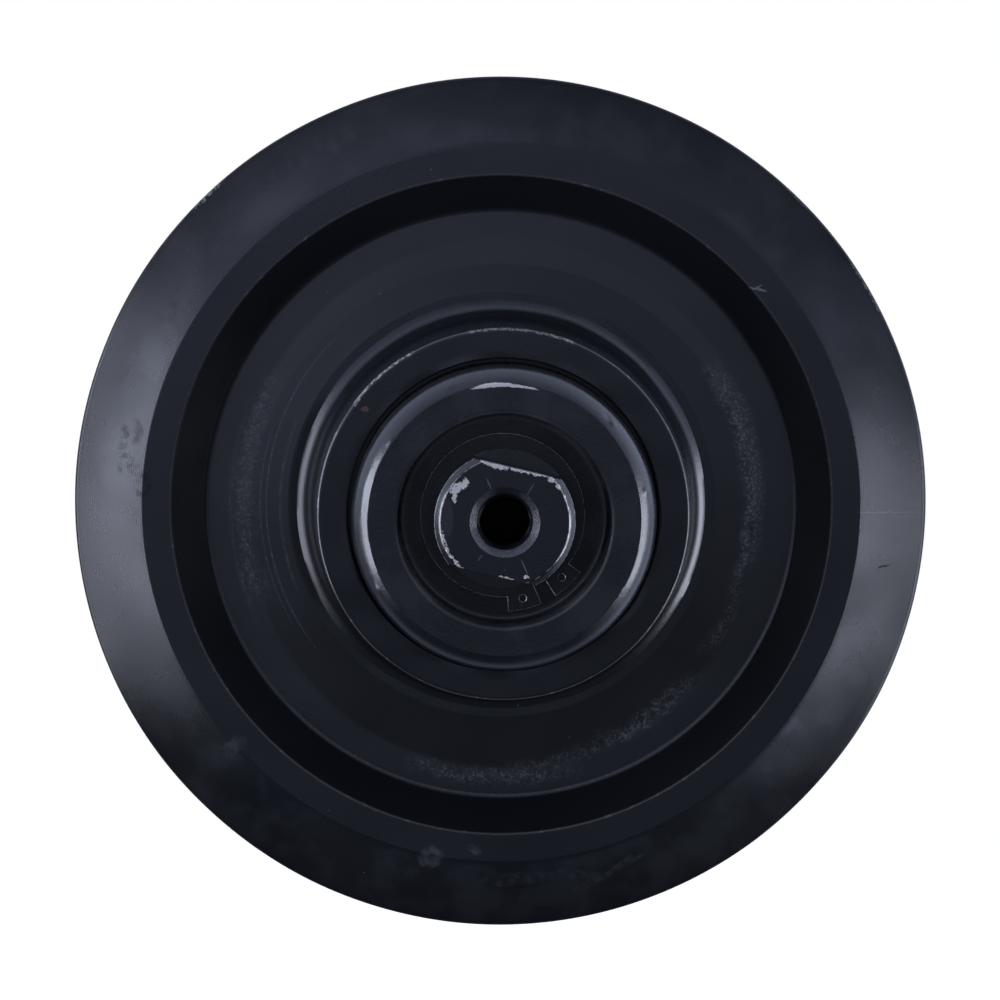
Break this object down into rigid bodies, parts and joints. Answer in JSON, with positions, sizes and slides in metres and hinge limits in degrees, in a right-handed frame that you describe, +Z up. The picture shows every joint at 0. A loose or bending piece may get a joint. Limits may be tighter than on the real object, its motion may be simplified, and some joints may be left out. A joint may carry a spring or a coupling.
{
  "type": "track idler wheel",
  "caption": "Cast track idler wheel with a tapered rim and dished web, turning on a fixed axle between round-edged seal collars that circlips hold, with a tapped hole in each axle end.",
  "frame": {"origin": "centre of the wheel, on the axle's axis and midway between the rim's side faces", "axes": "+Y along the axle, away from the pictured side; +Z up; +X to the right as seen from the pictured side"},
  "size_m": [0.38, 0.238, 0.3799],
  "materials": {
    "wheel_paint": "semi-gloss blue-black paint over a turned casting",
    "collar_paint": "gloss blue-black paint over a casting",
    "axle_paint": "blue-black paint over steel, worn to bare metal along the edges",
    "clip_paint": "thin blue-black paint over spring steel",
    "bush_bronze": "turned bronze",
    "seal_iron": "ground seal iron",
    "seal_rubber": "smooth black rubber",
    "plug_steel": "plain steel"
  },
  "bodies": {
    "axle": {"axle": "axle_paint", "front_collar": "collar_paint", "rear_collar": "collar_paint", "front_circlip": "clip_paint", "rear_circlip": "clip_paint", "front_collar_seal_ring": "seal_iron", "rear_collar_seal_ring": "seal_iron", "front_collar_toric": "seal_rubber", "rear_collar_toric": "seal_rubber", "front_o_ring": "seal_rubber", "rear_o_ring": "seal_rubber", "oil_plug": "plug_steel"},
    "wheel": {"wheel_body": "wheel_paint", "front_bushing": "bush_bronze", "rear_bushing": "bush_bronze", "front_hub_seal_ring": "seal_iron", "rear_hub_seal_ring": "seal_iron", "front_hub_toric": "seal_rubber", "rear_hub_toric": "seal_rubber"}
  },
  "joints": [
    {"name": "wheel_spin", "type": "hinge", "parent": "axle", "child": "wheel", "pos_m": [0, 0, 0], "axis": [0, 1, 0], "continuous": true}
  ]
}
